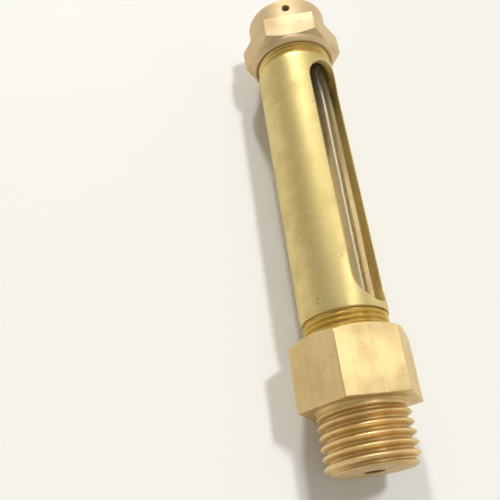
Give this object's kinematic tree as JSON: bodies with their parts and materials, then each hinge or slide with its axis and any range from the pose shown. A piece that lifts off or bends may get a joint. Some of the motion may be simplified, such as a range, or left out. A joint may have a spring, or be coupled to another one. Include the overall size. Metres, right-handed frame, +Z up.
{
  "type": "sight gauge",
  "caption": "Small brass liquid level gauge: threaded hex base, slotted round shell round a clear glass tube, and a hex cap with a side vent hole.",
  "frame": {"origin": "middle of the gauge's length, straight below its axis, on the surface it lies on", "axes": "+Y along the axis from the pipe thread to the cap, +Z up out of a flat of the base hexagon, +X towards the side the window leans to"},
  "size_m": [0.0184, 0.0788, 0.0163],
  "materials": {
    "machined_brass": "bright machined brass with turning grain, darker in the pipe thread",
    "shell_brass": "satin yellow brass with fine speckled tarnish",
    "cap_brass": "pale machined brass, lightly dulled",
    "gasket_rubber": "matt black moulded rubber",
    "clear_glass": "clear drawn glass tube"
  },
  "bodies": {
    "base": {"base_fitting": "machined_brass", "lower_gasket": "gasket_rubber"},
    "glass": {"glass_tube": "clear_glass"},
    "shell": {"sight_shell": "shell_brass"},
    "cap_packing": {"upper_gasket": "gasket_rubber", "slip_washer": "shell_brass"},
    "cap": {"vent_cap": "cap_brass"}
  },
  "joints": [
    {"name": "shell_advance", "type": "slide", "parent": "base", "child": "glass", "axis": [0, 1, 0], "range_m": [0, 0.00436]},
    {"name": "shell_turn", "type": "hinge", "parent": "glass", "child": "shell", "pos_m": [0, 0, 0.00817], "axis": [0, 1, 0], "range_deg": [0, 1980]},
    {"name": "cap_advance", "type": "slide", "parent": "shell", "child": "cap_packing", "axis": [0, 1, 0], "range_m": [0, 0.00397]},
    {"name": "cap_turn", "type": "hinge", "parent": "cap_packing", "child": "cap", "pos_m": [0, 0, 0.00817], "axis": [0, 1, 0], "range_deg": [0, 1800]}
  ],
  "couplings": [
    {"joint": "shell_turn", "follows": "shell_advance", "rad_per_m": 7915.8},
    {"joint": "cap_turn", "follows": "cap_advance", "rad_per_m": 7915.8}
  ]
}
